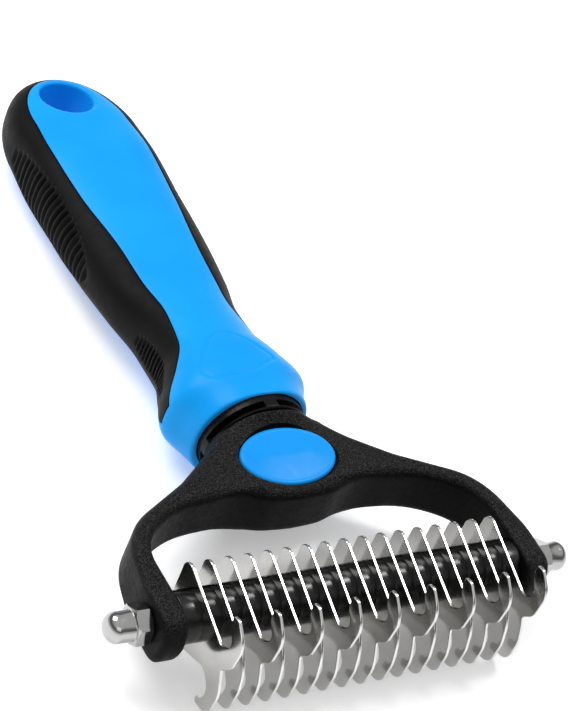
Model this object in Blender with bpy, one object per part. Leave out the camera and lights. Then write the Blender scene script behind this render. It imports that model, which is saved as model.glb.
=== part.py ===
"""Double-sided deshedding and dematting rake, lying on its back.

Working frame while modelling: the blade shaft runs along X through the origin,
the handle runs out along +Y, and +Z is the front, where the badge sits.
Everything hangs from one empty, which is then set so that the finished tool
stands on Z = 0 with the middle of its bounding box on the Z axis.
"""

import bpy
import bmesh
from math import acos, atan2, ceil, cos, pi, radians, sin, tan
from mathutils import Matrix, Vector
from mathutils.geometry import tessellate_polygon

MM = 0.001

# ---------------------------------------------------------------- dimensions (mm)
GAP = 0.3                    # play kept between neighbouring pieces
BLADES = 17                  # plates on the shaft
PITCH = 4.8                  # plate to plate
BLADE_T = 0.7                # plate thickness
ROD_R = 2.5                  # shaft radius
BORE_R = ROD_R + GAP         # holes that the shaft runs through
SPACER_R = 5.8               # spacer and bush radius
ARM_IN = 43.2                # inner face of each fork arm at the shaft
ARM_OUT = 49.0               # outer face, where the nut sits
ARM_END = -8.1               # far end of the arms, beyond the shaft
END_R = 9.96                 # each arm ends in this radius, seen from the side
YOKE_Z = 6.6                 # half thickness of the fork
NUT_AF = 8.0                 # acorn nut, across flats
NUT_HEX = 3.7                # height of its hexagon
NUT_H = 9.9                  # full height
DOME_R = 3.45               # radius of its dome
DOME_H = 2.7                 # height of the dome's rounded end
BADGE_Y = 33.2               # badge centre
BADGE_Z = 6.9                # height of the face that it lies in, at its centre
BADGE_TILT = 8.0             # slope of that face, rising towards the neck, in degrees
BADGE_A, BADGE_B = 11.95, 7.6  # badge half axes
BADGE_T = 1.7                # badge thickness
BADGE_PROUD = 0.6            # how far its rim stands out of the fork
NECK_Y = 43.6                # fork body ends, collar begins
NECK_Z = -0.6                # height of the neck axis
COLLAR_END = 53.0            # collar's hidden end in the handle
COLLAR_RX, COLLAR_RZ = 13.0, 12.3
COLLAR_WALL = 2.2
NECK_RX, NECK_RZ = 12.7, 12.2  # fork's round end at the collar
TANG_RX, TANG_RZ = 9.4, 8.8
TANG_END = 70.0
MOUTH_Y = 47.6               # blue body begins
HANDLE_YC = 147.0            # centre of the rounded end
HANDLE_RY = 20.6             # length of the rounded end
HOLE_Y = 156.6               # hanging hole
HOLE_RX, HOLE_RY = 6.6, 6.6
GRIP_T = 2.6                 # thickness of the soft side grip
GRIP_END_T = 1.2             # its thickness round the end
SUPER = 2.25                 # exponent of the handle's section
SUPER_END = 3.1              # the same towards the rounded end, which is flatter

# handle stations: (y, half width, half thickness, centre height)
STATIONS = (
    (47.6, 14.2, 13.4, -0.9),
    (51.5, 15.5, 13.4, -1.1),
    (56.5, 17.8, 13.4, -1.1),
    (63.5, 15.4, 12.8, -1.1),
    (71.0, 13.0, 11.6, -1.6),
    (80.5, 13.3, 10.5, -2.2),
    (92.0, 15.8, 9.6, -2.5),
    (105.5, 17.2, 10.3, -2.9),
    (120.0, 17.8, 11.1, -3.3),
    (134.0, 17.4, 10.9, -3.2),
    (147.0, 16.9, 9.4, -3.0),
    (157.0, 16.8, 8.5, -2.9),
    (168.0, 16.4, 8.6, -3.0),
)

# share of the half width that is blue on the front and on the back, by y
BLUE = (
    (56.0, 0.99),
    (60.0, 0.95),
    (65.0, 0.863),
    (72.0, 0.746),
    (84.0, 0.622),
    (100.0, 0.591),
    (120.0, 0.685),
    (140.0, 0.760),
    (147.0, 0.74),
)
BLUE_END = 0.87              # the same share around the rounded end


# ---------------------------------------------------------------- helpers
for old in list(bpy.data.objects):
    bpy.data.objects.remove(old, do_unlink=True)

ROOT = bpy.data.objects.new("tool_root", None)
bpy.context.scene.collection.objects.link(ROOT)
MATERIALS = {}


def material(name, colour, roughness, metallic=0.0):
    if name not in MATERIALS:
        mat = bpy.data.materials.new(name)
        mat.use_nodes = True
        shader = mat.node_tree.nodes["Principled BSDF"]
        shader.inputs["Base Color"].default_value = (*colour, 1.0)
        shader.inputs["Roughness"].default_value = roughness
        shader.inputs["Metallic"].default_value = metallic
        MATERIALS[name] = mat
    return MATERIALS[name]


BLUE_PLASTIC = ("blue_plastic", (0.02, 0.30, 0.92), 0.38)
BLACK_PLASTIC = ("black_moulded_plastic", (0.012, 0.012, 0.013), 0.52)
BLACK_GLOSS = ("black_gloss_plastic", (0.008, 0.008, 0.009), 0.22)
BLACK_RUBBER = ("black_soft_grip", (0.018, 0.018, 0.019), 0.68)
STEEL = ("polished_steel", (0.62, 0.62, 0.61), 0.24, 1.0)
CHROME = ("chrome_plate", (0.78, 0.78, 0.79), 0.10, 1.0)


def add(name, mesh, finish, place=None, helper=False):
    obj = bpy.data.objects.new(name, mesh)
    bpy.context.scene.collection.objects.link(obj)
    obj.parent = ROOT
    if place is not None:
        obj.matrix_local = place
    if helper:
        obj.hide_render = True
        obj.display_type = "WIRE"
    else:
        if not mesh.materials:
            mesh.materials.append(material(*finish))
        mesh.shade_smooth()
        mesh.set_sharp_from_angle(angle=radians(35))
    return obj


def mesh_from(name, points, faces):
    bm = bmesh.new()
    verts = [bm.verts.new([c * MM for c in p]) for p in points]
    for face in faces:
        bm.faces.new([verts[i] for i in face])
    bmesh.ops.recalc_face_normals(bm, faces=bm.faces[:])
    mesh = bpy.data.meshes.new(name)
    bm.to_mesh(mesh)
    bm.free()
    return mesh


def rounded(corners, step=24.0):
    """Closed outline through corners (u, v, r), each rounded to its radius r."""
    out = []
    count = len(corners)
    for i, (u, v, r) in enumerate(corners):
        here = Vector((u, v))
        back = Vector(corners[i - 1][:2]) - here
        ahead = Vector(corners[(i + 1) % count][:2]) - here
        lb, la = back.length, ahead.length
        back.normalize()
        ahead.normalize()
        half = acos(max(-1.0, min(1.0, back.dot(ahead)))) / 2
        reach = r / tan(half)
        most = 0.48 * min(lb, la)
        if reach > most:
            reach, r = most, most * tan(half)
        start, stop = here + back * reach, here + ahead * reach
        centre = here + (back + ahead).normalized() * (r / sin(half))
        a0 = atan2(start.y - centre.y, start.x - centre.x)
        turn = atan2(stop.y - centre.y, stop.x - centre.x) - a0
        turn = (turn + pi) % (2 * pi) - pi
        n = max(1, ceil(abs(turn) / radians(step)))
        for k in range(n + 1):
            a = a0 + turn * k / n
            out.append((centre.x + r * cos(a), centre.y + r * sin(a)))
    return out


def plate(name, outline, holes, low, high, place):
    """Flat plate: outline and holes in (u, v), from low to high along w; place turns (u, v, w) into (x, y, z)."""
    loops = [outline] + holes
    points, faces, start = [], [], []
    for w in (low, high):
        for loop in loops:
            start.append(len(points))
            points += [place(u, v, w) for u, v in loop]
    half = len(points) // 2
    flat = tessellate_polygon([[Vector((u, v, 0)) for u, v in loop] for loop in loops])
    for tri in flat:
        faces.append(tuple(tri))
        faces.append(tuple(half + i for i in reversed(tri)))
    for k, loop in enumerate(loops):
        n = len(loop)
        for i in range(n):
            j = (i + 1) % n
            a, b = start[k] + i, start[k] + j
            faces.append((a, b, half + b, half + a))
    return mesh_from(name, points, faces)


def loft(name, rings, closed=False):
    """Skin over rings of equal length. Open lofts are capped, unless a ring is a single point."""
    points, index = [], []
    for ring in rings:
        index.append(list(range(len(points), len(points) + len(ring))))
        points += ring
    faces = []
    pairs = list(zip(index, index[1:])) + ([(index[-1], index[0])] if closed else [])
    for a, b in pairs:
        n = max(len(a), len(b))
        for i in range(n):
            j = (i + 1) % n
            if len(a) == 1:
                faces.append((a[0], b[i], b[j]))
            elif len(b) == 1:
                faces.append((a[i], a[j], b[0]))
            else:
                faces.append((a[i], a[j], b[j], b[i]))
    if not closed:
        for end in (index[0], index[-1]):
            if len(end) > 1:
                faces.append(tuple(end))
    return mesh_from(name, points, faces)


def turned(name, profile, sides, mirror=1):
    """Ring of the closed profile (x, r) turned about X."""
    rings = []
    for x, r in profile:
        rings.append([(mirror * x, r * cos(2 * pi * i / sides), r * sin(2 * pi * i / sides)) for i in range(sides)])
    return loft(name, rings, closed=True)


def ellipse(cx, cy, a, b, n, start=0.0):
    return [(cx + a * cos(start + 2 * pi * i / n), cy + b * sin(start + 2 * pi * i / n)) for i in range(n)]


def smooth_table(table, column, at):
    """Monotone cubic reading of one column of a station table at y."""
    ys = [row[0] for row in table]
    vs = [row[column] for row in table]
    if at <= ys[0]:
        return vs[0]
    if at >= ys[-1]:
        return vs[-1]
    k = max(i for i in range(len(ys) - 1) if ys[i] <= at)

    def slope(i):
        if i in (0, len(ys) - 1):
            j = min(max(i, 1), len(ys) - 1)
            return (vs[j] - vs[j - 1]) / (ys[j] - ys[j - 1])
        a = (vs[i] - vs[i - 1]) / (ys[i] - ys[i - 1])
        b = (vs[i + 1] - vs[i]) / (ys[i + 1] - ys[i])
        return 0.0 if a * b <= 0 else 2 * a * b / (a + b)

    h = ys[k + 1] - ys[k]
    t = (at - ys[k]) / h
    m0, m1 = slope(k) * h, slope(k + 1) * h
    return ((2 * t**3 - 3 * t**2 + 1) * vs[k] + (t**3 - 2 * t**2 + t) * m0
            + (3 * t**2 - 2 * t**3) * vs[k + 1] + (t**3 - t**2) * m1)


def cut(obj, cutter, operation="DIFFERENCE"):
    mod = obj.modifiers.new(cutter.name, "BOOLEAN")
    mod.object = cutter
    mod.operation = operation
    mod.solver = "EXACT"


# ---------------------------------------------------------------- blades
# Stamped plate in the plane across the shaft, corners as (y, z, radius).
HUB = [(7.7, -5.5, 4.6), (7.9, 10.3, 2.4)]
FRONT_HOOK = [
    (-12.7, 4.7, 2.4), (-15.7, 7.9, 2.4), (-12.4, 11.2, 4.0), (-12.2, 14.2, 0.8),
    (-14.2, 14.7, 1.4), (-18.7, 11.2, 5.0), (-18.0, 3.6, 4.2), (-15.3, 0.6, 1.2),
]
FRONT_PLAIN = [(-13.6, 4.0, 9.0), (-16.6, 0.4, 8.0)]
REAR_HOOK = [
    (-17.9, -5.0, 7.0), (-17.3, -12.2, 5.0), (-12.0, -13.5, 0.7), (-11.65, -11.9, 0.5),
    (-13.6, -10.7, 1.6), (-14.0, -7.5, 3.0), (-10.6, -4.3, 3.0), (-1.6, -8.3, 5.0),
]
BORE = list(reversed(ellipse(0, 0, BORE_R, BORE_R, 12)))


def across(u, v, w):
    return (w, u, v)


half_t = BLADE_T / 2
double_hook = plate("blade_double", rounded(HUB + FRONT_HOOK + REAR_HOOK, 36), [BORE], -half_t, half_t, across)
single_hook = plate("blade_single", rounded(HUB + FRONT_PLAIN + REAR_HOOK, 36), [BORE], -half_t, half_t, across)
for i in range(BLADES):
    x = (i - (BLADES - 1) / 2) * PITCH
    add(f"blade_{i + 1:02d}", single_hook if i % 2 else double_hook, STEEL, Matrix.Translation((x * MM, 0, 0)))

# ---------------------------------------------------------------- spacers and end bushes
half_s = (PITCH - BLADE_T) / 2 - GAP / 2
spacer = turned("spacer", [(-half_s, BORE_R), (half_s, BORE_R), (half_s, SPACER_R), (-half_s, SPACER_R)], 16)
for i in range(BLADES - 1):
    x = (i - (BLADES - 2) / 2) * PITCH
    add(f"spacer_{i + 1:02d}", spacer, BLACK_GLOSS, Matrix.Translation((x * MM, 0, 0)))

bush_in = (BLADES - 1) / 2 * PITCH + half_t + GAP / 2
bush_out = ARM_IN - GAP
for side, name in ((-1, "end_bush_left"), (1, "end_bush_right")):
    add(name, turned(name, [
        (bush_in, BORE_R), (bush_out, BORE_R), (bush_out, SPACER_R + 0.2), (bush_in + 0.9, SPACER_R + 0.2),
        (bush_in + 0.5, SPACER_R - 0.1), (bush_in, SPACER_R - 0.4)], 16, side), BLACK_GLOSS)

# ---------------------------------------------------------------- shaft and nuts
rod_end = ARM_OUT + NUT_H - 2.6
add("axle_rod", loft("axle_rod", [
    [(x, r * cos(2 * pi * i / 16), r * sin(2 * pi * i / 16)) for i in range(16)]
    for x, r in ((-rod_end, ROD_R - 0.5), (-rod_end + 0.5, ROD_R), (rod_end - 0.5, ROD_R), (rod_end, ROD_R - 0.5))]), STEEL)


def hexagon(x, flats, chamfer=0.0, n=3):
    """Ring of 6n points along a hexagon, drawn in towards a circle at its chamfered corners."""
    ring = []
    for i in range(6 * n):
        a = 2 * pi * i / (6 * n)
        local = (a + pi / 6) % (pi / 3) - pi / 6
        r = flats / 2 / cos(local)
        if chamfer:
            r = min(r, flats / 2 + chamfer)
        ring.append((x, r * cos(a), r * sin(a)))
    return ring


def circle(x, r, n=18):
    return [(x, r * cos(2 * pi * i / n), r * sin(2 * pi * i / n)) for i in range(n)]


for side, name in ((-1, "acorn_nut_left"), (1, "acorn_nut_right")):
    base = ARM_OUT + GAP
    straight = NUT_H - GAP - DOME_H
    rings = [[(base + NUT_H - 2.2, 0.0, 0.0)], circle(base + NUT_H - 2.3, BORE_R), circle(base, BORE_R),
             hexagon(base, NUT_AF, 0.1), hexagon(base + 0.4, NUT_AF), hexagon(base + NUT_HEX - 0.5, NUT_AF),
             hexagon(base + NUT_HEX, NUT_AF, 0.15), circle(base + NUT_HEX, DOME_R)]
    for k in range(5):
        a = k / 5 * pi / 2
        rings.append(circle(base + straight + DOME_H * sin(a), DOME_R * cos(a)))
    rings.append([(base + straight + DOME_H, 0.0, 0.0)])
    rings = [[(side * x, y, z) for x, y, z in ring] for ring in rings]
    add(name, loft(name, rings), CHROME)

# ---------------------------------------------------------------- fork
# Right half of the fork's outline, corners as (x, y, radius), from the middle of
# the inner edge, round the arm and back to the neck.
FORK = [
    (0.0, 22.6, 30.0), (8.0, 23.2, 14.0), (16.5, 26.6, 14.0), (33.0, 24.0, 26.0), (43.2, 16.5, 15.0),
    (ARM_IN, ARM_END, 1.2), (ARM_OUT, ARM_END, 2.0), (ARM_OUT, 5.0, 18.0), (46.0, 21.0, 22.0),
    (27.3, 31.4, 18.0), (18.3, 38.2, 12.0), (12.9, NECK_Y - 0.4, 2.0),
]
left = [(-x, y, r) for x, y, r in reversed(FORK[1:])]
fork_outline = rounded(FORK + left, 14)
fork = add("head_yoke", plate("head_yoke", fork_outline, [], -YOKE_Z, YOKE_Z, lambda u, v, w: (u, v, w)), BLACK_PLASTIC)
bevel = fork.modifiers.new("soft_edges", "BEVEL")
bevel.width = 2.4 * MM
bevel.segments = 2
bevel.limit_method = "ANGLE"
bevel.angle_limit = radians(50)


def oval_ring(y, rx, rz, zc, n=28, power=2.0):
    ring = []
    for i in range(n):
        a = 2 * pi * (i + 0.5) / n
        c, s = cos(a), sin(a)
        ring.append((rx * abs(c) ** (2 / power) * (1 if c > 0 else -1), y,
                     zc + rz * abs(s) ** (2 / power) * (1 if s > 0 else -1)))
    return ring


# Neck root: swells from the flat fork to the round collar, then steps down to the tang.
def face_height(y):
    """Height of the fork's front over its middle line: a gentle slope that carries the badge, then a rise to the collar."""
    t = max(0.0, (y - 39.5) / (NECK_Y - 39.5))
    plain = BADGE_Z + (y - BADGE_Y) * tan(radians(BADGE_TILT))
    return plain + (NECK_Z + NECK_RZ - BADGE_Z - (NECK_Y - BADGE_Y) * tan(radians(BADGE_TILT))) * t ** 1.3


neck_rings = []
for y in (29.0, 32.0, 35.0, 38.0, 39.8, 41.2, 42.5, NECK_Y):
    t = (y - 29.0) / (NECK_Y - 29.0)
    neck_rings.append(oval_ring(y, 19.0 + (NECK_RX - 19.0) * t ** 0.8, face_height(y) - NECK_Z * t, NECK_Z * t, power=3.2 - 0.9 * t))
neck_rings.append(oval_ring(NECK_Y, TANG_RX, TANG_RZ, NECK_Z))
neck_rings.append(oval_ring(TANG_END - 1.5, TANG_RX - 0.6, TANG_RZ - 0.6, NECK_Z - 0.5))
neck_rings.append(oval_ring(TANG_END, TANG_RX - 2.0, TANG_RZ - 2.0, NECK_Z - 0.5))
neck = add("neck_root", loft("neck_root", neck_rings), BLACK_PLASTIC, helper=True)
cut(fork, neck, "UNION")

shaft_hole = add("shaft_hole", loft("shaft_hole", [circle(-60, BORE_R, 16), circle(60, BORE_R, 16)]), None, helper=True)
cut(fork, shaft_hole)

round_end = [(END_R * cos(a) + ARM_END + END_R, END_R * sin(a)) for a in (pi * (0.5 + k / 20) for k in range(21))]
round_end += [(ARM_END + END_R, -20.0), (-25.0, -20.0), (-25.0, 20.0), (ARM_END + END_R, 20.0)]
arm_ends = add("arm_ends", plate("arm_ends", round_end, [], -60.0, 60.0, lambda u, v, w: (w, u, v)), None, helper=True)
cut(fork, arm_ends)

slope = Matrix.Translation((0, BADGE_Y * MM, BADGE_Z * MM)) @ Matrix.Rotation(radians(BADGE_TILT), 4, "X")
pocket_floor = BADGE_PROUD - BADGE_T - GAP
pocket = add("badge_pocket", loft("badge_pocket", [
    [(x, y, z) for x, y in ellipse(0, 0, BADGE_A + GAP, BADGE_B + GAP, 36)] for z in (pocket_floor, 14.0)]), None, slope, helper=True)
cut(fork, pocket)

badge_rings = []
for z, inset in ((BADGE_PROUD - BADGE_T, 0.0), (BADGE_PROUD - 0.35, 0.0), (BADGE_PROUD, 0.5), (BADGE_PROUD + 0.35, 3.4)):
    badge_rings.append([(x, y, z) for x, y in ellipse(0, 0, BADGE_A - inset, BADGE_B - inset, 36)])
badge_rings.append([(0.0, 0.0, BADGE_PROUD + 0.55)])
add("medallion_badge", loft("medallion_badge", badge_rings), BLUE_PLASTIC, slope)

# ---------------------------------------------------------------- neck collar
rx, rz, wall = COLLAR_RX, COLLAR_RZ, COLLAR_WALL
y0 = NECK_Y + GAP
collar_rings = [
    oval_ring(y0, rx - wall, rz - wall, NECK_Z), oval_ring(y0, rx - 0.5, rz - 0.5, NECK_Z),
    oval_ring(y0 + 0.4, rx - 0.1, rz - 0.1, NECK_Z), oval_ring(MOUTH_Y + 0.4, rx, rz, NECK_Z),
    oval_ring(MOUTH_Y + 0.4, rx - 0.7, rz - 0.7, NECK_Z), oval_ring(COLLAR_END, rx - 0.9, rz - 0.9, NECK_Z),
    oval_ring(COLLAR_END, rx - wall, rz - wall, NECK_Z)]
collar = add("neck_collar", loft("neck_collar", collar_rings, closed=True), BLACK_PLASTIC)
for side in (-1, 1):
    for face in (-1, 1):
        slot = add(f"collar_slot_{'left' if side < 0 else 'right'}_{'back' if face < 0 else 'front'}", loft("collar_slot", [
            [(side * x, y, face * z + NECK_Z) for x, y in ((1.6, y0 + 0.45), (20.0, y0 + 0.45), (20.0, y0 + 2.15), (1.6, y0 + 2.15))]
            for z in (1.9, 30.0)]), None, helper=True)
        cut(collar, slot)

# ---------------------------------------------------------------- handle
def power(y):
    """Exponent of the section, which grows from the grip towards the rounded end."""
    t = min(1.0, max(0.0, (y - 118.0) / 26.0))
    return SUPER + (SUPER_END - SUPER) * t * t * (3 - 2 * t)


def section(y):
    return (smooth_table(STATIONS, 1, y), smooth_table(STATIONS, 2, y), smooth_table(STATIONS, 3, y))


def skin(s, share, front, inset=0.0):
    """Point of the handle's skin.

    s below HANDLE_YC is a place along the side; above it, s - HANDLE_YC is the
    angle, in degrees, round the end. share runs from 0 on the middle line to 1
    on the equator; front is +1 or -1. The side is always +X.
    """
    if s <= HANDLE_YC:
        width = section(s)[0] - inset
        x, y = width * share, s
    else:
        a = radians(s - HANDLE_YC)
        width = section(HANDLE_YC)[0] - inset
        x, y = width * share * cos(a), HANDLE_YC + (HANDLE_RY - inset) * share * sin(a)
    _, thick, mid = section(y)
    p = power(y)
    rise = max(0.0, 1 - share ** p) ** (1 / p)
    return (x, y, mid + front * (thick - inset) * rise)


def blue_share(s):
    if s <= HANDLE_YC:
        return smooth_table(BLUE, 1, s)
    a = (s - HANDLE_YC) / 90
    last = BLUE[-1][1]
    return last + (BLUE_END - last) * a * a * (3 - 2 * a)


def angle_of(share):
    """Angle that stands for a share of the half width, so that points crowd where the skin turns down."""
    return acos(min(1.0, share) ** (SUPER / 2))


def share_at(angle):
    return max(0.0, cos(angle)) ** (2 / SUPER)


GRIP_START = BLUE[0][0]
SOCKET_RX, SOCKET_RZ = TANG_RX + GAP, TANG_RZ + GAP


def mirrored_ring(quarter, mid):
    """Whole ring from its +X +Z quarter, which runs from the top to the side."""
    top = quarter
    low = [(x, y, 2 * mid - z) for x, y, z in reversed(quarter[:-1])]
    right = top + low
    left = [(-x, y, z) for x, y, z in reversed(right[1:-1])]
    return right + left


def plain_ring(y, n_quarter=9, inset=0.0):
    return mirrored_ring([skin(y, share_at(pi / 2 * (1 - k / (n_quarter - 1))), 1, inset) for k in range(n_quarter)], section(y)[2])


def solid_body():
    ys = [MOUTH_Y, MOUTH_Y + 0.8] + [50.5, 53.5, 56.5, 60.0, 64.0, 68.0, 73.0, 79.0, 87.0, 97.0, 108.0, 120.0, 132.0, 141.0, HANDLE_YC]
    rings = []
    for y in ys:
        inset = 0.6 if y == MOUTH_Y else 0.0
        rings.append(plain_ring(y, 9, inset))
    n = len(rings[-1])
    for k in range(1, 7):
        a = pi / 2 * k / 6.6
        ring = []
        for x, y, z in rings[len(ys) - 1]:
            width, thick, mid = section(HANDLE_YC)
            share = abs(x) / width
            yy = HANDLE_YC + HANDLE_RY * sin(a)
            # the rounded end, seen along Z, is an ellipse of level lines
            xx = x * cos(a)
            level = ((xx / width) ** 2 + ((yy - HANDLE_YC) / HANDLE_RY) ** 2) ** 0.5
            _, t2, m2 = section(yy)
            p = power(yy)
            rise = max(0.0, 1 - level ** p) ** (1 / p)
            sign = 1 if z > mid + 1e-6 else (-1 if z < mid - 1e-6 else 0)
            ring.append((xx, yy, m2 + sign * t2 * rise))
        rings.append(ring)
    rings.append([(0.0, HANDLE_YC + HANDLE_RY, section(HANDLE_YC + HANDLE_RY)[2])])
    return loft("handle_body", rings)


body = add("handle_body", solid_body(), BLUE_PLASTIC)


def grip_mesh(name, outer, play):
    """U-shaped band round the handle: along one side, round the end and back along the other side.

    outer is the inset of its outer face from the handle's skin; play makes the
    band larger on its other faces, for the seat that it lies in.
    """
    side = [GRIP_START + 0.6 - play, 59.5, 63.0, 67.0, 72.0, 79.0, 88.0, 99.0, 111.0, 123.0, 134.0, 142.0, HANDLE_YC]
    round_end = [HANDLE_YC + a for a in (12, 24, 36, 48, 60, 71, 81, 90)]
    stations = side + round_end
    steps = 5
    rings = []
    for s in stations:
        share = blue_share(s)
        edge = angle_of(share) + play / 13.0
        fade = min(1.0, max(0.0, s - (HANDLE_YC - 6.0)) / 40.0)
        inner = (GRIP_T + (GRIP_END_T - GRIP_T) * fade) * min(1.0, max(0.0, s - GRIP_START) / 8.0 + 0.3) + play
        ring = []
        for k in range(2 * steps - 1):
            angle = edge * (1 - k / (steps - 1))
            ring.append(skin(s, share_at(abs(angle)), 1 if angle >= 0 else -1, outer))
        for k in range(2 * steps - 1):
            angle = -edge * (1 - k / (steps - 1))
            ring.append(skin(s, share_at(abs(angle)), 1 if angle >= 0 else -1, inner))
        rings.append(ring)
    other = [[(-x, y, z) for x, y, z in ring] for ring in reversed(rings[:-1])]
    return loft(name, rings + other)


grip = add("side_grip", grip_mesh("side_grip", 0.0, 0.0), BLACK_RUBBER)
grip_cutter = add("grip_seat", grip_mesh("grip_seat", -0.8, GAP), None, helper=True)
cut(body, grip_cutter)

socket = add("handle_socket", loft("handle_socket", [
    oval_ring(MOUTH_Y - 1.0, COLLAR_RX + GAP, COLLAR_RZ + GAP, NECK_Z), oval_ring(COLLAR_END + 0.5, COLLAR_RX + GAP - 0.6, COLLAR_RZ + GAP - 0.6, NECK_Z),
    oval_ring(COLLAR_END + 0.6, SOCKET_RX, SOCKET_RZ, NECK_Z), oval_ring(TANG_END + 1.0, SOCKET_RX - 0.6, SOCKET_RZ - 0.6, NECK_Z - 0.5)]),
    None, helper=True)
cut(body, socket)

hang_hole = add("hang_hole", loft("hang_hole", [
    [(x, y, z) for x, y in ellipse(0, HOLE_Y, HOLE_RX, HOLE_RY, 24)] for z in (-40.0, 40.0)]), None, helper=True)
cut(body, hang_hole)

# ---------------------------------------------------------------- stand the tool on Z = 0, centred
bpy.context.view_layer.update()
graph = bpy.context.evaluated_depsgraph_get()
low, high = [1e9] * 3, [-1e9] * 3
for obj in bpy.data.objects:
    if obj.type != "MESH" or obj.hide_render:
        continue
    seen = obj.evaluated_get(graph)
    data = seen.to_mesh()
    for vert in data.vertices:
        point = seen.matrix_world @ vert.co
        for axis in range(3):
            low[axis] = min(low[axis], point[axis])
            high[axis] = max(high[axis], point[axis])
    seen.to_mesh_clear()
ROOT.location = (-(low[0] + high[0]) / 2, -(low[1] + high[1]) / 2, -low[2])
bpy.context.view_layer.update()
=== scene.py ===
from math import acos, atan2, ceil, cos, exp, pi, radians, sin, sqrt, tan

import bmesh
import bpy
import numpy as np
from mathutils import Matrix, Vector
from mathutils.geometry import tessellate_polygon


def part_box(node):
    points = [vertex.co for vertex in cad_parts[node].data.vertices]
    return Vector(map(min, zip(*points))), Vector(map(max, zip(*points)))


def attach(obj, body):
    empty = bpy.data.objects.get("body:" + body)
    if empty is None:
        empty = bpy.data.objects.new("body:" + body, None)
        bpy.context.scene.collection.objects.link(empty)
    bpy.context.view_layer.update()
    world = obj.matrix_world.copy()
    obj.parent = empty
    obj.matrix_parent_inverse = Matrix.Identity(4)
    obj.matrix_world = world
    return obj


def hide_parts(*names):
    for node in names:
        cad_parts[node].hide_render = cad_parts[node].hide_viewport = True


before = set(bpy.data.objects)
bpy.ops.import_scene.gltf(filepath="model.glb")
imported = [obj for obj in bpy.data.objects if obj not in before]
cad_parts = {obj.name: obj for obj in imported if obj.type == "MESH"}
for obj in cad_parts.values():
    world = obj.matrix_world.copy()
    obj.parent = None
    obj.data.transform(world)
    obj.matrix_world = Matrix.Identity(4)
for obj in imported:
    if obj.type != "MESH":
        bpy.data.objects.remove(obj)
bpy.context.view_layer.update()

MM = 0.001
_low, _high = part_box("axle_rod")
SHAFT = (_low + _high) / 2          # the shaft's centre: every piece is drawn from it, in mm
ORIGIN = np.array(SHAFT)

# ---------------------------------------------------------------- dimensions of the frame (mm)
GAP = 0.3
BLADES, PITCH, BLADE_T = 17, 4.8, 0.7
ROD_R = 2.5
BORE_R = ROD_R + GAP
SPACER_R = 5.8
ARM_IN, ARM_OUT, ARM_END, END_R = 43.2, 49.0, -8.1, 9.96
YOKE_Z = 6.6
NUT_AF, NUT_HEX, NUT_H, DOME_R, DOME_H = 8.0, 3.7, 9.9, 3.45, 2.7
BADGE_Y, BADGE_Z, BADGE_TILT, BADGE_A, BADGE_B, BADGE_T, BADGE_PROUD = 33.2, 6.9, 8.0, 11.95, 7.6, 1.7, 0.6
NECK_Y, NECK_Z = 43.6, -0.6
COLLAR_END, COLLAR_RX, COLLAR_RZ, COLLAR_WALL = 53.0, 13.0, 12.3, 2.2
NECK_RX, NECK_RZ = 12.7, 12.2
TANG_RX, TANG_RZ, TANG_END = 9.4, 8.8, 70.0
MOUTH_Y = 47.6
HANDLE_YC, HANDLE_RY = 147.0, 20.6
HOLE_Y, HOLE_RX, HOLE_RY = 156.6, 6.6, 6.6
GRIP_T, GRIP_END_T = 2.6, 1.2
SUPER, SUPER_END = 2.25, 3.1
STATIONS = (
    (47.6, 14.2, 13.4, -0.9),
    (51.5, 15.5, 13.4, -1.1),
    (56.5, 17.8, 13.4, -1.1),
    (63.5, 15.4, 12.8, -1.1),
    (71.0, 13.0, 11.6, -1.6),
    (80.5, 13.3, 10.5, -2.2),
    (92.0, 15.8, 9.6, -2.5),
    (105.5, 17.2, 10.3, -2.9),
    (120.0, 17.8, 11.1, -3.3),
    (134.0, 17.4, 10.9, -3.2),
    (147.0, 16.9, 9.4, -3.0),
    (157.0, 16.8, 8.5, -2.9),
    (168.0, 16.4, 8.6, -3.0),
)
BLUE = (
    (56.0, 0.99),
    (60.0, 0.95),
    (65.0, 0.863),
    (72.0, 0.746),
    (84.0, 0.622),
    (100.0, 0.591),
    (120.0, 0.685),
    (140.0, 0.760),
    (147.0, 0.74),
)
BLUE_END = 0.87
HUB = [(7.7, -5.5, 4.6), (7.9, 10.3, 2.4)]
FRONT_HOOK = [
    (-12.7, 4.7, 2.4), (-15.7, 7.9, 2.4), (-12.4, 11.2, 4.0), (-12.2, 14.2, 0.8),
    (-14.2, 14.7, 1.4), (-18.7, 11.2, 5.0), (-18.0, 3.6, 4.2), (-15.3, 0.6, 1.2),
]
FRONT_PLAIN = [(-13.6, 4.0, 9.0), (-16.6, 0.4, 8.0)]
REAR_HOOK = [
    (-17.9, -5.0, 7.0), (-17.3, -12.2, 5.0), (-12.0, -13.5, 0.7), (-11.65, -11.9, 0.5),
    (-13.6, -10.7, 1.6), (-14.0, -7.5, 3.0), (-10.6, -4.3, 3.0), (-1.6, -8.3, 5.0),
]
FORK = [
    (0.0, 22.6, 30.0), (8.0, 23.2, 14.0), (16.5, 26.6, 14.0), (33.0, 24.0, 26.0), (43.2, 16.5, 15.0),
    (ARM_IN, ARM_END, 1.2), (ARM_OUT, ARM_END, 2.0), (ARM_OUT, 5.0, 18.0), (46.0, 21.0, 22.0),
    (27.3, 31.4, 18.0), (18.3, 38.2, 12.0), (12.9, NECK_Y - 0.4, 2.0),
]
# rounded outline of the thumb rest pressed into the front of the handle, (x, y)
PAD = [
    (-0.2, 68.9), (-4.1, 67.8), (-8.1, 63.3), (-10.5, 59.6), (-9.9, 56.1), (-5.5, 54.8),
    (-0.1, 55.1), (6.3, 57.9), (7.5, 59.4), (5.2, 63.2), (2.8, 66.7),
]
# finger ribs: (centre along the handle, half length, half height, pitch)
RIB_FIELDS = ((124.2, 23.2, 6.6, 2.0), (72.2, 10.2, 3.5, 1.32))


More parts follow.
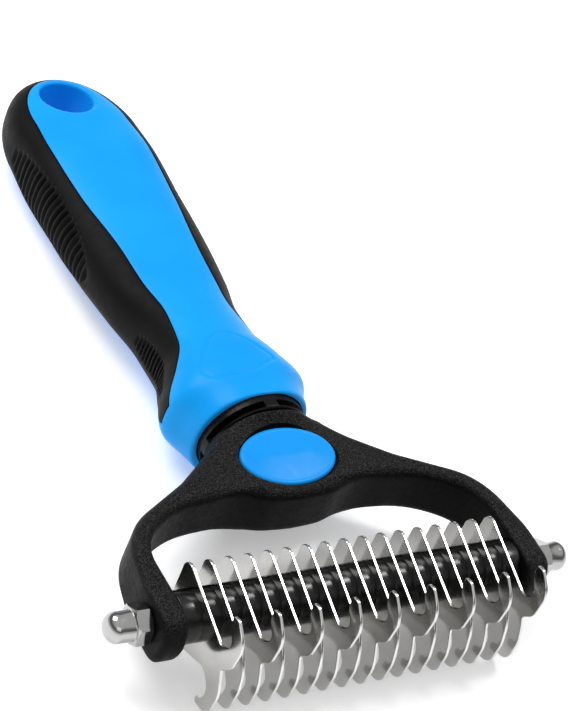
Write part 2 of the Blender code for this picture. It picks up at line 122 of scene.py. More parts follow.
# ---------------------------------------------------------------- mesh helpers
def link(name, mesh):
    obj = bpy.data.objects.new(name, mesh)
    bpy.context.scene.collection.objects.link(obj)
    return obj


def mesh_of(name, points, faces, move=True):
    """Closed mesh from points in mm, in the shaft's frame, with its faces turned outwards."""
    points = np.asarray(points, float) * MM
    if move:
        points = points + ORIGIN
    mesh = bpy.data.meshes.new(name)
    mesh.from_pydata(points.tolist(), [], faces)
    bm = bmesh.new()
    bm.from_mesh(mesh)
    bmesh.ops.remove_doubles(bm, verts=bm.verts[:], dist=2e-7)
    bmesh.ops.dissolve_degenerate(bm, edges=bm.edges[:], dist=2e-7)
    bmesh.ops.recalc_face_normals(bm, faces=bm.faces[:])
    bm.to_mesh(mesh)
    bm.free()
    return mesh


def finish_piece(obj, mat, nodes, sharp=32.0, weighted=False):
    obj.data.materials.clear()
    obj.data.materials.append(mat)
    obj.data.shade_smooth()
    obj.data.set_sharp_from_angle(angle=radians(sharp))
    if weighted:
        mod = obj.modifiers.new("even_shading", "WEIGHTED_NORMAL")
        mod.keep_sharp = True
        mod.weight = 60
    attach(obj, "root")
    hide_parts(*nodes)
    return obj


def baked(obj, name):
    """The object's mesh with its modifiers applied, and the object removed."""
    graph = bpy.context.evaluated_depsgraph_get()
    mesh = bpy.data.meshes.new_from_object(obj.evaluated_get(graph))
    mesh.name = name
    bpy.data.objects.remove(obj, do_unlink=True)
    return mesh


def with_cuts(name, mesh, cutters, solver="EXACT"):
    obj = link(name + "_work", mesh)
    helpers = []
    for i, (cutter, operation) in enumerate(cutters):
        helper = link(f"{name}_cut_{i}", cutter)
        helpers.append(helper)
        mod = obj.modifiers.new(f"cut_{i}", "BOOLEAN")
        mod.object = helper
        mod.operation = operation
        mod.solver = solver
    bpy.context.view_layer.update()
    out = baked(obj, name)
    for helper in helpers:
        bpy.data.objects.remove(helper, do_unlink=True)
    return out


def rounded(corners, step=8.0):
    """Closed outline through corners (u, v, r), each rounded to its radius r."""
    out = []
    count = len(corners)
    for i, (u, v, r) in enumerate(corners):
        here = Vector((u, v))
        back = Vector(corners[i - 1][:2]) - here
        ahead = Vector(corners[(i + 1) % count][:2]) - here
        lb, la = back.length, ahead.length
        back.normalize()
        ahead.normalize()
        half = acos(max(-1.0, min(1.0, back.dot(ahead)))) / 2
        reach = r / tan(half)
        most = 0.48 * min(lb, la)
        if reach > most:
            reach, r = most, most * tan(half)
        start, stop = here + back * reach, here + ahead * reach
        centre = here + (back + ahead).normalized() * (r / sin(half))
        a0 = atan2(start.y - centre.y, start.x - centre.x)
        turn = atan2(stop.y - centre.y, stop.x - centre.x) - a0
        turn = (turn + pi) % (2 * pi) - pi
        n = max(1, ceil(abs(turn) / radians(step)))
        for k in range(n + 1):
            a = a0 + turn * k / n
            out.append((centre.x + r * cos(a), centre.y + r * sin(a)))
    return out


def evenly(outline, most):
    """The closed outline with its long straight runs split, so that no step is over most."""
    out = []
    for i, a in enumerate(outline):
        b = outline[(i + 1) % len(outline)]
        n = max(1, ceil(sqrt((b[0] - a[0]) ** 2 + (b[1] - a[1]) ** 2) / most))
        out += [(a[0] + (b[0] - a[0]) * k / n, a[1] + (b[1] - a[1]) * k / n) for k in range(n)]
    return out


def drawn_in(outline, by):
    """The outline moved inwards, along its own normals."""
    pts = np.array(outline)
    ahead, back = np.roll(pts, -1, 0), np.roll(pts, 1, 0)
    t = ahead - back
    t /= np.maximum(np.linalg.norm(t, axis=1, keepdims=True), 1e-9)
    normal = np.stack([t[:, 1], -t[:, 0]], 1)
    area = 0.5 * np.sum(pts[:, 0] * ahead[:, 1] - ahead[:, 0] * pts[:, 1])
    return (pts - np.sign(area) * normal * by).tolist()


def grid_loft(name, rings, close_rows=False, cap_start=None, cap_end=None, move=True):
    """Skin over rings of equal length. cap is a single point, 'flat' for one face, or 'strip' for a ring that runs out and back."""
    rings = np.asarray(rings, float)
    rows, cols = rings.shape[:2]
    points = rings.reshape(-1, 3).tolist()
    faces = []
    last = rows if close_rows else rows - 1
    for i in range(last):
        a, b = i * cols, ((i + 1) % rows) * cols
        for j in range(cols):
            k = (j + 1) % cols
            faces.append((a + j, a + k, b + k, b + j))
    for cap, row in ((cap_start, 0), (cap_end, rows - 1)):
        base = row * cols
        if cap is None:
            continue
        if isinstance(cap, str) and cap == "flat":
            faces.append(tuple(range(base, base + cols)))
        elif isinstance(cap, str) and cap == "strip":
            for j in range(cols // 2 - 1):
                faces.append((base + j, base + j + 1, base + cols - 2 - j, base + cols - 1 - j))
        else:
            points.append(list(cap))
            for j in range(cols):
                faces.append((base + j, base + (j + 1) % cols, len(points) - 1))
    return mesh_of(name, points, faces, move)


def turned(name, profile, sides, mirror=1, move=True):
    """Closed profile (x, r) turned about X."""
    a = 2 * pi * np.arange(sides) / sides
    rings = [np.stack([np.full(sides, mirror * x), r * np.cos(a), r * np.sin(a)], 1) for x, r in profile]
    return grid_loft(name, rings, close_rows=True, move=move)


def arc(cx, cr, r, a0, a1, n):
    """Points (x, r) on an arc of a profile, angles in degrees."""
    return [(cx + r * cos(radians(a0 + (a1 - a0) * k / n)), cr + r * sin(radians(a0 + (a1 - a0) * k / n))) for k in range(n + 1)]


def ease(t):
    t = np.clip(t, 0.0, 1.0)
    return t * t * (3 - 2 * t)


# ---------------------------------------------------------------- materials
def new_material(name, colour, rough, metal=0.0, specular=0.5):
    mat = bpy.data.materials.new(name)
    mat.use_nodes = True
    nt = mat.node_tree
    bsdf = nt.nodes["Principled BSDF"]
    bsdf.inputs["Base Color"].default_value = (*colour, 1.0)
    bsdf.inputs["Roughness"].default_value = rough
    bsdf.inputs["Metallic"].default_value = metal
    bsdf.inputs["Specular IOR Level"].default_value = specular
    return mat, nt, bsdf


def position(nt, stretch=None):
    geo = nt.nodes.new("ShaderNodeNewGeometry")
    if stretch is None:
        return geo.outputs["Position"]
    mul = nt.nodes.new("ShaderNodeVectorMath")
    mul.operation = "MULTIPLY"
    nt.links.new(geo.outputs["Position"], mul.inputs[0])
    mul.inputs[1].default_value = stretch
    return mul.outputs[0]


def noise(nt, scale, detail=2.0, rough=0.5, stretch=None):
    node = nt.nodes.new("ShaderNodeTexNoise")
    node.inputs["Scale"].default_value = scale
    node.inputs["Detail"].default_value = detail
    node.inputs["Roughness"].default_value = rough
    nt.links.new(position(nt, stretch), node.inputs["Vector"])
    return node.outputs[0]


def spread(nt, value, a, b, c, d):
    node = nt.nodes.new("ShaderNodeMapRange")
    node.clamp = True
    nt.links.new(value, node.inputs["Value"])
    node.inputs["From Min"].default_value = a
    node.inputs["From Max"].default_value = b
    node.inputs["To Min"].default_value = c
    node.inputs["To Max"].default_value = d
    return node.outputs["Result"]


def maths(nt, operation, a, b):
    node = nt.nodes.new("ShaderNodeMath")
    node.operation = operation
    for socket, value in zip(node.inputs, (a, b)):
        if isinstance(value, (int, float)):
            socket.default_value = value
        else:
            nt.links.new(value, socket)
    return node.outputs[0]


def mix(nt, factor, a, b):
    node = nt.nodes.new("ShaderNodeMix")
    node.data_type = "RGBA"
    nt.links.new(factor, node.inputs[0])
    for socket, colour in ((node.inputs[6], a), (node.inputs[7], b)):
        if isinstance(colour, tuple):
            socket.default_value = (*colour, 1.0)
        else:
            nt.links.new(colour, socket)
    return node.outputs[2]


def bump(nt, bsdf, height, distance, strength=1.0):
    node = nt.nodes.new("ShaderNodeBump")
    node.inputs["Strength"].default_value = strength
    node.inputs["Distance"].default_value = distance
    nt.links.new(height, node.inputs["Height"])
    nt.links.new(node.outputs[0], bsdf.inputs["Normal"])
    return node


def facing_front(nt, a, b):
    """0 to 1 as the surface turns from sideways to the front of the tool, by its own normal."""
    geo = nt.nodes.new("ShaderNodeNewGeometry")
    sep = nt.nodes.new("ShaderNodeSeparateXYZ")
    nt.links.new(geo.outputs["Normal"], sep.inputs[0])
    flat = maths(nt, "ABSOLUTE", sep.outputs[2], 0.0)
    return spread(nt, flat, a, b, 0.0, 1.0)


def spark_grain(name, colour, glint_colour, rough, depth, specular=0.4):
    """Black moulded plastic with the fine grain of an eroded mould, smoother on its side walls, and painted glints:
    specks of a lighter colour mixed into the base colour, mostly on the front faces.
    """
    mat, nt, bsdf = new_material(name, colour, rough, specular=specular)
    front = facing_front(nt, 0.25, 0.75)
    grain = noise(nt, 3400.0, 3.0, 0.7)
    # painted glints: the lightest grains of the noise get the lighter colour, fewer of them on the side walls
    glint_mask = spread(nt, grain, 0.45, 0.68, 0.0, 1.0)
    glint_mask = maths(nt, "MULTIPLY", glint_mask, maths(nt, "ADD", maths(nt, "MULTIPLY", front, 0.85), 0.15))
    cloud = spread(nt, noise(nt, 70.0, 3.0), 0.35, 0.65, 0.0, 1.0)
    base = mix(nt, cloud, tuple(c * 0.82 for c in colour), tuple(c * 1.15 for c in colour))
    nt.links.new(mix(nt, glint_mask, base, glint_colour), bsdf.inputs["Base Color"])
    nt.links.new(spread(nt, noise(nt, 900.0, 2.0), 0.3, 0.7, rough - 0.07, rough + 0.07), bsdf.inputs["Roughness"])
    streak = noise(nt, 1.0, 2.0, 0.5, stretch=(90.0, 90.0, 2600.0))
    wall = maths(nt, "MULTIPLY", streak, 0.35)
    height = maths(nt, "ADD", maths(nt, "MULTIPLY", grain, maths(nt, "ADD", maths(nt, "MULTIPLY", front, 0.9), 0.12)), wall)
    bump(nt, bsdf, height, depth)
    return mat


def satin(name, deep, bright, rough, depth, specular=0.5, scale=5200.0):
    """Smooth moulded plastic or rubber with a very fine grain and faint unevenness of colour."""
    mat, nt, bsdf = new_material(name, bright, rough, specular=specular)
    cloud = spread(nt, noise(nt, 45.0, 4.0, 0.55), 0.36, 0.64, 0.0, 1.0)
    nt.links.new(mix(nt, cloud, deep, bright), bsdf.inputs["Base Color"])
    nt.links.new(spread(nt, noise(nt, 420.0, 3.0), 0.3, 0.7, rough - 0.05, rough + 0.05), bsdf.inputs["Roughness"])
    fine = noise(nt, scale, 2.0, 0.5)
    slow = maths(nt, "MULTIPLY", noise(nt, 260.0, 2.0), 0.5)
    bump(nt, bsdf, maths(nt, "ADD", fine, slow), depth)
    return mat


def metal(name, dull, bright, low, high, stretch, depth, scale=1.0, edge_highlight=None):
    """Metal with the fine scratches of its finishing, and cloudy unevenness in its gloss. The last argument, for
    blades, is a lighter tone on the ground edges: a painted highlight.
    """
    mat, nt, bsdf = new_material(name, bright, low, metal=1.0)
    cloud = spread(nt, noise(nt, 160.0, 4.0, 0.6), 0.35, 0.65, 0.0, 1.0)
    colour = mix(nt, cloud, dull, bright)
    # painted highlight: surfaces turned away from X, the blade's edges, get the lighter tone
    if edge_highlight:
        geo = nt.nodes.new("ShaderNodeNewGeometry")
        sep = nt.nodes.new("ShaderNodeSeparateXYZ")
        nt.links.new(geo.outputs["Normal"], sep.inputs[0])
        edge = spread(nt, maths(nt, "ABSOLUTE", sep.outputs[0], 0.0), 0.93, 0.72, 0.0, 1.0)
        colour = mix(nt, edge, colour, edge_highlight)
    nt.links.new(colour, bsdf.inputs["Base Color"])
    scratch = noise(nt, scale, 3.0, 0.6, stretch=stretch)
    rough = maths(nt, "ADD", spread(nt, noise(nt, 240.0, 3.0), 0.3, 0.7, low, high),
                  spread(nt, scratch, 0.55, 0.75, 0.0, 0.06))
    nt.links.new(rough, bsdf.inputs["Roughness"])
    bump(nt, bsdf, scratch, depth)
    return mat


# the third colour of each is a painted glint: light specks mixed into the black base colour
YOKE_MAT = spark_grain("yoke_moulded_black", (0.0020, 0.0020, 0.0021), (0.050, 0.049, 0.048), 0.48, 0.00008, specular=0.06)
COLLAR_MAT = spark_grain("collar_moulded_black", (0.0022, 0.0022, 0.0023), (0.007, 0.007, 0.0074), 0.34, 0.00003, specular=0.14)
GRIP_MAT = satin("grip_soft_black", (0.0034, 0.0033, 0.0032), (0.0048, 0.0046, 0.0045), 0.52, 0.00003, specular=0.08, scale=3600.0)
GLOSS_MAT = satin("spacer_gloss_black", (0.0020, 0.0020, 0.0021), (0.0030, 0.0030, 0.0031), 0.22, 0.000008, specular=0.42)
BLUE_MAT = satin("handle_blue", (0.004, 0.30, 0.79), (0.006, 0.33, 0.84), 0.36, 0.000010, specular=0.10)
BADGE_MAT = satin("badge_blue", (0.003, 0.275, 0.78), (0.005, 0.30, 0.82), 0.30, 0.000006, specular=0.14, scale=3000.0)
# the blades' edges get a lighter metal tone, a painted highlight
STEEL_MAT = metal("blade_polished_steel", (0.47, 0.465, 0.45), (0.52, 0.515, 0.50), 0.12, 0.15, (700.0, 260.0, 2600.0), 0.0000010, edge_highlight=(0.66, 0.66, 0.65))
ROD_MAT = metal("rod_plated_steel", (0.40, 0.40, 0.39), (0.50, 0.50, 0.49), 0.26, 0.36, (2600.0, 400.0, 400.0), 0.000006)
CHROME_MAT = metal("nut_chrome", (0.41, 0.41, 0.405), (0.47, 0.47, 0.465), 0.07, 0.11, (1500.0, 500.0, 500.0), 0.000002)


# ---------------------------------------------------------------- blades
def blade(name, corners):
    outline = evenly(rounded(corners, 7), 1.2)
    hole = [(BORE_R * cos(-2 * pi * i / 36), BORE_R * sin(-2 * pi * i / 36)) for i in range(36)]
    half = BLADE_T / 2
    c = 0.16
    layers = [(half, c), (half - 0.3 * c, 0.3 * c), (half - c, 0.0), (-half + c, 0.0), (-half + 0.3 * c, 0.3 * c), (-half, c)]
    loops = [drawn_in(outline, inset) if inset else outline for _, inset in layers]
    points, faces = [], []
    n, m = len(outline), len(hole)
    for (w, _), loop in zip(layers, loops):
        points += [(w, u, v) for u, v in loop]
    for k in range(len(layers) - 1):
        for i in range(n):
            j = (i + 1) % n
            faces.append((k * n + i, k * n + j, (k + 1) * n + j, (k + 1) * n + i))
    top, bottom = len(points), len(points) + m
    points += [(half, u, v) for u, v in hole] + [(-half, u, v) for u, v in hole]
    for i in range(m):
        j = (i + 1) % m
        faces.append((top + i, top + j, bottom + j, bottom + i))
    for base, hole_base, loop in ((0, top, loops[0]), ((len(layers) - 1) * n, bottom, loops[-1])):
        flat = tessellate_polygon([[Vector((u, v, 0)) for u, v in loop], [Vector((u, v, 0)) for u, v in hole]])
        index = list(range(base, base + n)) + list(range(hole_base, hole_base + m))
        faces += [tuple(index[i] for i in tri) for tri in flat]
    return mesh_of(name, points, faces, move=False)


double_hook = blade("blade_double_fine", HUB + FRONT_HOOK + REAR_HOOK)
single_hook = blade("blade_single_fine", HUB + FRONT_PLAIN + REAR_HOOK)
for i in range(BLADES):
    node = f"blade_{i + 1:02d}"
    obj = link(node + "_fine", single_hook if i % 2 else double_hook)
    obj.location = SHAFT + Vector(((i - (BLADES - 1) / 2) * PITCH * MM, 0, 0))
    finish_piece(obj, STEEL_MAT, [node], sharp=16.0)

# ---------------------------------------------------------------- spacers and end bushes
half_s = (PITCH - BLADE_T) / 2 - 0.01
profile = [(-half_s + 0.1, BORE_R), (half_s - 0.1, BORE_R), (half_s, BORE_R + 0.1)]
profile += arc(half_s - 0.05, SPACER_R - 0.08, 0.05, 0, 84, 3)
profile += [(half_s * 0.5, SPACER_R - 0.05), (0.0, SPACER_R - 0.03), (-half_s * 0.5, SPACER_R - 0.05)]
profile += arc(-half_s + 0.05, SPACER_R - 0.08, 0.05, 96, 180, 3)
profile += [(-half_s, BORE_R + 0.1)]
spacer = turned("spacer_fine", profile, 64, move=False)
for i in range(BLADES - 1):
    node = f"spacer_{i + 1:02d}"
    obj = link(node + "_fine", spacer)
    obj.location = SHAFT + Vector(((i - (BLADES - 2) / 2) * PITCH * MM, 0, 0))
    finish_piece(obj, GLOSS_MAT, [node], sharp=38.0)

bush_in = (BLADES - 1) / 2 * PITCH + BLADE_T / 2 + 0.01
bush_out = ARM_IN - 0.12
for side, node in ((-1, "end_bush_left"), (1, "end_bush_right")):
    profile = [(bush_in + 0.1, BORE_R), (bush_out - 0.1, BORE_R), (bush_out, BORE_R + 0.1)]
    profile += arc(bush_out - 0.2, SPACER_R - 0.2, 0.2, 0, 90, 4)
    profile += [((bush_in + bush_out) / 2, SPACER_R + 0.02)] + arc(bush_in + 0.06, SPACER_R - 0.06, 0.06, 90, 180, 3)
    profile += [(bush_in, BORE_R + 0.1)]
    obj = link(node + "_fine", turned(node + "_fine", profile, 64, side))
    finish_piece(obj, GLOSS_MAT, [node], sharp=38.0)

# ---------------------------------------------------------------- shaft, threaded at both ends
rod_end = ARM_OUT + NUT_H - 2.6
xs = np.concatenate([np.arange(-rod_end, -42.6, 0.1), np.linspace(-42.6, 42.6, 40), np.arange(42.7, rod_end + 1e-6, 0.1)])
ang = 2 * pi * np.arange(32) / 32
rings = []
for x in xs:
    turn = (x / 0.8 - ang / (2 * pi)) % 1.0
    thread = 0.34 * np.clip(1.15 - np.abs(turn - 0.5) * 2.6, 0.0, 1.0)
    fade = min(1.0, max(0.0, (abs(x) - 42.8) / 0.6))
    end = min(1.0, max(0.0, (rod_end - abs(x)) / 0.5))
    r = (ROD_R - fade * (0.34 - thread)) * (0.82 + 0.18 * end)
    rings.append(np.stack([np.full(32, x), r * np.cos(ang), r * np.sin(ang)], 1))
obj = link("axle_rod_fine", grid_loft("axle_rod_fine", rings, cap_start="flat", cap_end="flat"))
finish_piece(obj, ROD_MAT, ["axle_rod"], sharp=40.0)

# ---------------------------------------------------------------- acorn nuts
for side, node in ((-1, "acorn_nut_left"), (1, "acorn_nut_right")):
    base = ARM_OUT + GAP
    straight = NUT_H - GAP - DOME_H
    n = 96
    a = 2 * pi * np.arange(n) / n
    local = (a + pi / 6) % (pi / 3) - pi / 6
    hexagon = NUT_AF / 2 / np.cos(local)
    levels = [(0.0, 0.02), (0.08, 0.16), (0.18, 0.33), (0.28, 0.5), (0.38, 0.75), (NUT_HEX - 0.46, 0.75), (NUT_HEX - 0.36, 0.52),
              (NUT_HEX - 0.24, 0.32), (NUT_HEX - 0.12, 0.14), (NUT_HEX - 0.02, 0.0)]
    rings = [np.stack([np.full(n, base + NUT_H - 2.3), BORE_R * np.cos(a), BORE_R * np.sin(a)], 1),
             np.stack([np.full(n, base + 0.3), BORE_R * np.cos(a), BORE_R * np.sin(a)], 1),
             np.stack([np.full(n, base), (BORE_R + 0.3) * np.cos(a), (BORE_R + 0.3) * np.sin(a)], 1)]
    for x, over in levels:
        r = np.minimum(hexagon, NUT_AF / 2 + over)
        rings.append(np.stack([np.full(n, base + x), r * np.cos(a), r * np.sin(a)], 1))
    for x, r in ((NUT_HEX, DOME_R + 0.2), (NUT_HEX + 0.06, DOME_R + 0.06), (NUT_HEX + 0.2, DOME_R), (straight * 0.97, DOME_R)):
        rings.append(np.stack([np.full(n, base + x), r * np.cos(a), r * np.sin(a)], 1))
    for k in range(18):
        b = k / 18 * pi / 2
        rings.append(np.stack([np.full(n, base + straight + DOME_H * sin(b)), DOME_R * cos(b) * np.cos(a), DOME_R * cos(b) * np.sin(a)], 1))
    rings = np.array(rings)
    rings[:, :, 0] *= side
    mesh = grid_loft(node + "_fine", rings, cap_start=(side * (base + NUT_H - 2.2), 0, 0), cap_end=(side * (base + straight + DOME_H), 0, 0))
    finish_piece(link(node + "_fine", mesh), CHROME_MAT, [node], sharp=24.0)

# ---------------------------------------------------------------- yoke, as a rounded and blended solid
def outline_distance(outline, x, y):
    """Signed distance from the closed outline, below 0 inside it."""
    pts = np.array(outline)
    best = np.full(x.shape, 1e9)
    inside = np.zeros(x.shape, bool)
    for a, b in zip(pts, np.roll(pts, -1, 0)):
        d = b - a
        t = np.clip(((x - a[0]) * d[0] + (y - a[1]) * d[1]) / max(d @ d, 1e-12), 0, 1)
        best = np.minimum(best, np.hypot(x - a[0] - t * d[0], y - a[1] - t * d[1]))
        if a[1] != b[1]:
            crosses = ((a[1] > y) != (b[1] > y)) & (x < (b[0] - a[0]) * (y - a[1]) / (b[1] - a[1]) + a[0])
            inside ^= crosses
    return np.where(inside, -best, best)


def soft_min(a, b, k):
    h = np.clip(0.5 + 0.5 * (b - a) / k, 0.0, 1.0)
    return b + (a - b) * h - k * h * (1 - h)


def surface_nets(value, low, step):
    """Mesh of the surface where value is 0, on a grid."""
    nx, ny, nz = value.shape
    corners = [(i, j, k) for i in (0, 1) for j in (0, 1) for k in (0, 1)]
    stack = np.stack([value[i:nx - 1 + i, j:ny - 1 + j, k:nz - 1 + k] for i, j, k in corners], -1)
    count = (stack < 0).sum(-1)
    active = (count > 0) & (count < 8)
    cell = np.argwhere(active)
    index = np.full(active.shape, -1, np.int64)
    index[active] = np.arange(len(cell))
    v = stack[active]
    offsets = np.array(corners, float)
    total, hits = np.zeros((len(cell), 3)), np.zeros((len(cell), 1))
    for a in range(8):
        for b in range(a + 1, 8):
            if np.abs(offsets[a] - offsets[b]).sum() != 1:
                continue
            change = (v[:, a] < 0) != (v[:, b] < 0)
            t = np.where(change, v[:, a] / np.where(change, v[:, a] - v[:, b], 1.0), 0.0)[:, None]
            total += np.where(change[:, None], offsets[a] + t * (offsets[b] - offsets[a]), 0.0)
            hits += change[:, None]
    points = (cell + total / hits) * step + np.array(low)
    faces = []
    sign = value < 0
    for axis in range(3):
        u, w = [k for k in range(3) if k != axis]
        here = [slice(None)] * 3
        there = [slice(None)] * 3
        here[axis], there[axis] = slice(0, -1), slice(1, None)
        change = sign[tuple(here)] != sign[tuple(there)]
        at = np.argwhere(change)
        at = at[(at[:, u] > 0) & (at[:, w] > 0) & (at[:, u] < value.shape[u] - 1) & (at[:, w] < value.shape[w] - 1)]
        quad = []
        for du, dw in ((0, 0), (-1, 0), (-1, -1), (0, -1)):
            c = at.copy()
            c[:, u] += du
            c[:, w] += dw
            quad.append(index[c[:, 0], c[:, 1], c[:, 2]])
        faces += np.stack(quad, 1).tolist()
    return points, faces


def yoke_mesh():
    step = 0.42
    longer = [(x, y - 6.0 if y == ARM_END else y, r) for x, y, r in FORK]
    fork = rounded(longer + [(-x, y, r) for x, y, r in reversed(longer[1:])], 5)
    low = (-50.4, ARM_END - 1.4, -14.4)
    xs = np.arange(low[0], 50.9, step)
    ys = np.arange(low[1], NECK_Y + 1.6, step)
    zs = np.arange(low[2], 14.6, step)
    gx, gy = np.meshgrid(xs, ys, indexing="ij")
    flat = outline_distance(fork, gx, gy)[:, :, None]
    z = zs[None, None, :]
    r = (1.3 + 1.0 * np.clip((gy - 2.0) / 14.0, 0.0, 1.0))[:, :, None]
    over = ARM_END + END_R - gy[:, :, None]
    ends = np.where(over > 0, np.hypot(over, z) - END_R, np.abs(z) - END_R)
    side = -soft_min(-(np.abs(z) - YOKE_Z + 0 * over), -ends, 1.6)
    qa, qb = flat + r, side + r
    body = np.minimum(np.maximum(qa, qb), 0.0) + np.hypot(np.maximum(qa, 0.0), np.maximum(qb, 0.0)) - r
    t = np.clip((gy - 29.0) / (NECK_Y - 29.0), 0.0, 1.0)[:, :, None]
    rx = 19.0 + (NECK_RX - 19.0) * t ** 0.8
    tilt = tan(radians(BADGE_TILT))
    late = np.clip((gy - 39.0) / (NECK_Y - 39.0), 0.0, 1.0)[:, :, None]
    height = BADGE_Z + (gy[:, :, None] - BADGE_Y) * tilt + (NECK_Z + NECK_RZ - BADGE_Z - (NECK_Y - BADGE_Y) * tilt) * late ** 1.35
    rz = height - NECK_Z * t
    p = 3.2 - 0.9 * t
    oval = (np.abs(gx[:, :, None]) / rx) ** p + (np.abs(z - NECK_Z * t) / rz) ** p
    neck = (np.maximum(oval, 1e-9) ** (1 / p) - 1) * np.minimum(rx, rz) * 0.9
    neck = np.maximum(neck, 27.0 - gy[:, :, None])
    body = soft_min(body, neck, 3.2)
    end = gy[:, :, None] - NECK_Y + 0 * z
    body = -soft_min(-body, -end, 0.9)
    bore = BORE_R - np.hypot(gy[:, :, None], z) + 0 * gx[:, :, None]
    body = np.maximum(body, bore)
    points, faces = surface_nets(body, low, step)
    return mesh_of("head_yoke_fine", points, faces)


def oval_rings(levels, n, power=2.0):
    a = 2 * pi * (np.arange(n) + 0.5) / n
    c, s = np.cos(a), np.sin(a)
    rings = []
    for y, rx, rz, zc in levels:
        rings.append(np.stack([rx * np.abs(c) ** (2 / power) * np.sign(c), np.full(n, y), zc + rz * np.abs(s) ** (2 / power) * np.sign(s)], 1))
    return rings


SLOPE = Matrix.Rotation(radians(BADGE_TILT), 3, "X")


def on_slope(x, y, z):
    """Points given in the badge's own sloping plane, in the shaft's frame."""
    pts = np.stack([x, y, z], 1) @ np.array(SLOPE).T
    return pts + np.array([0.0, BADGE_Y, BADGE_Z])


pocket_floor = BADGE_PROUD - BADGE_T - GAP
a = 2 * pi * np.arange(96) / 96
pocket = [on_slope((BADGE_A + g) * np.cos(a), (BADGE_B + g) * np.sin(a), np.full(96, z))
          for z, g in ((pocket_floor, 0.26), (-0.55, 0.26), (-0.3, 0.28), (-0.1, 0.34), (0.1, 0.46), (0.3, 0.6), (0.8, 0.66), (14.0, 0.7))]
pocket = grid_loft("pocket", pocket, cap_start="flat", cap_end="flat")
tang = grid_loft("tang", oval_rings([(NECK_Y - 2.0, 10.55, 9.85, NECK_Z), (NECK_Y + 4.2, 10.55, 9.85, NECK_Z), (NECK_Y + 4.8, TANG_RX, TANG_RZ, NECK_Z),
                                     (TANG_END - 1.5, TANG_RX - 0.6, TANG_RZ - 0.6, NECK_Z - 0.5),
                                     (TANG_END, TANG_RX - 2.0, TANG_RZ - 2.0, NECK_Z - 0.5)], 64), cap_start="flat", cap_end="flat")
yoke = with_cuts("head_yoke_fine", yoke_mesh(), [(pocket, "DIFFERENCE"), (tang, "UNION")], "MANIFOLD")
finish_piece(link("head_yoke_fine", yoke), YOKE_MAT, ["head_yoke"], sharp=42.0)

# ---------------------------------------------------------------- badge
top = BADGE_PROUD
rings = []
for z, inset in ((top - BADGE_T, 0.15), (top - BADGE_T + 0.15, 0.0), (top - 0.62, 0.0), (top - 0.42, 0.05), (top - 0.24, 0.18), (top - 0.09, 0.38),
                 (top - 0.01, 0.62), (top + 0.01, 0.82), (top - 0.03, 1.0), (top - 0.02, 1.2), (top + 0.03, 1.6), (top + 0.13, 2.6),
                 (top + 0.26, 3.9), (top + 0.38, 5.2), (top + 0.47, 6.4), (top + 0.52, 7.1)):
    rings.append(on_slope((BADGE_A - inset) * np.cos(a), (BADGE_B - inset) * np.sin(a), np.full(96, z)))
peak = on_slope(np.zeros(1), np.zeros(1), np.full(1, top + 0.55))[0]
mesh = grid_loft("medallion_badge_fine", rings, cap_start="flat", cap_end=tuple(peak))
finish_piece(link("medallion_badge_fine", mesh), BADGE_MAT, ["medallion_badge"], sharp=50.0)

# ---------------------------------------------------------------- neck collar
rx, rz, wall, y0 = COLLAR_RX, COLLAR_RZ, COLLAR_WALL, NECK_Y + GAP
levels = [(y0, rx - wall + 0.2), (y0, rx - 0.55), (y0 + 0.12, rx - 0.3), (y0 + 0.4, rx - 0.1), (y0 + 0.7, rx), (MOUTH_Y + 0.3, rx),
          (MOUTH_Y + 0.4, rx - 0.7), (COLLAR_END, rx - 0.9), (COLLAR_END, rx - wall), (y0 + 0.2, rx - wall)]
mesh = grid_loft("neck_collar_fine", oval_rings([(y, r, r - COLLAR_RX + COLLAR_RZ, NECK_Z) for y, r in levels], 128), close_rows=True)
cuts = []
for side in (-1, 1):
    for face in (-1, 1):
        slot = [np.array([(side * x, y, face * z + NECK_Z) for x, y in ((1.6, y0 + 0.45), (20.0, y0 + 0.45), (20.0, y0 + 2.15), (1.6, y0 + 2.15))])
                for z in (1.9, 30.0)]
        cuts.append((grid_loft("slot", slot, cap_start="flat", cap_end="flat"), "DIFFERENCE"))
mesh = with_cuts("neck_collar_fine", mesh, cuts)
obj = link("neck_collar_fine", mesh)
soften = obj.modifiers.new("soft_edges", "BEVEL")
soften.width = 0.16 * MM
soften.segments = 2
soften.limit_method = "ANGLE"
soften.angle_limit = radians(50)
finish_piece(obj, COLLAR_MAT, ["neck_collar"], sharp=50.0, weighted=True)


# ---------------------------------------------------------------- handle
def table(rows, column, at):
    """Monotone cubic reading of one column of a table at y."""
    ys = [row[0] for row in rows]
    vs = [row[column] for row in rows]
    if at <= ys[0]:
        return vs[0]
    if at >= ys[-1]:
        return vs[-1]
    k = max(i for i in range(len(ys) - 1) if ys[i] <= at)

    def slope(i):
        if i in (0, len(ys) - 1):
            j = min(max(i, 1), len(ys) - 1)
            return (vs[j] - vs[j - 1]) / (ys[j] - ys[j - 1])
        a = (vs[i] - vs[i - 1]) / (ys[i] - ys[i - 1])
        b = (vs[i + 1] - vs[i]) / (ys[i + 1] - ys[i])
        return 0.0 if a * b <= 0 else 2 * a * b / (a + b)

    h = ys[k + 1] - ys[k]
    t = (at - ys[k]) / h
    m0, m1 = slope(k) * h, slope(k + 1) * h
    return ((2 * t**3 - 3 * t**2 + 1) * vs[k] + (t**3 - 2 * t**2 + t) * m0
            + (3 * t**2 - 2 * t**3) * vs[k + 1] + (t**3 - t**2) * m1)


FINE_Y = np.linspace(40.0, 170.0, 1301)
FINE = [np.array([table(STATIONS, c, y) for y in FINE_Y]) for c in (1, 2, 3)]


def section(y):
    return tuple(np.interp(y, FINE_Y, column) for column in FINE)


def power(y):
    return SUPER + (SUPER_END - SUPER) * ease((y - 118.0) / 26.0)


